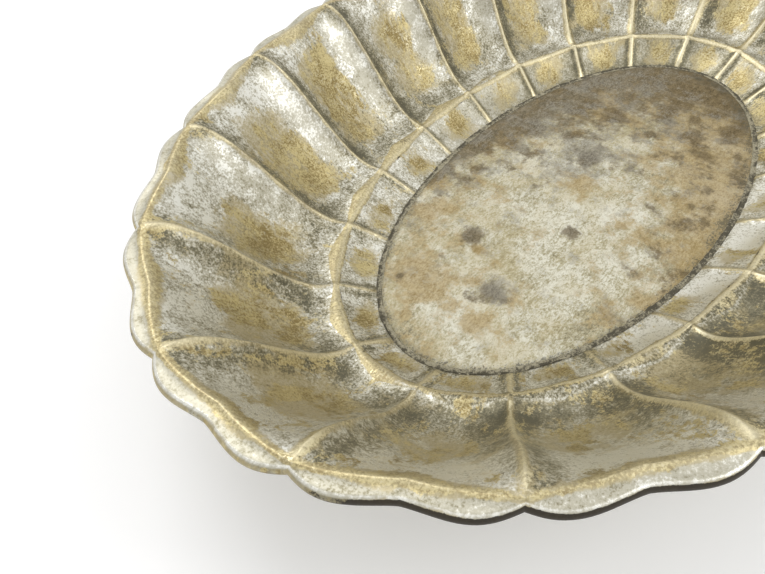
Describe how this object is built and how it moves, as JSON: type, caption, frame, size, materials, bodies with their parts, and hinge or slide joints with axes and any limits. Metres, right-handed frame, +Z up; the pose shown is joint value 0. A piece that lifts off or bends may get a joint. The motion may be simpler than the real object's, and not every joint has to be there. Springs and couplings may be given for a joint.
{
  "type": "oval scalloped platter",
  "caption": "Deep oval serving platter with a flat floor, a fluted and ribbed wall and a scalloped rolled rim, in worn silver plate over brass.",
  "frame": {"origin": "under the centre of the floor, on the plane that the platter rests on", "axes": "+X along the oval's long axis, +Y along its short axis, +Z up out of the dish"},
  "size_m": [0.33, 0.2214, 0.0504],
  "materials": {
    "plated_wall": "silver plate worn through to brass on ribs, ridge and flutes, with dark tarnish beside them",
    "plated_floor": "matt silver plate, scratched and stained brown",
    "solder": "dull, dark and grainy",
    "wire": "drawn, dull"
  },
  "bodies": {
    "root": {"fluted_wall": "plated_wall", "well_floor": "plated_floor", "seam_solder": "solder", "rim_wire": "wire"}
  },
  "joints": []
}
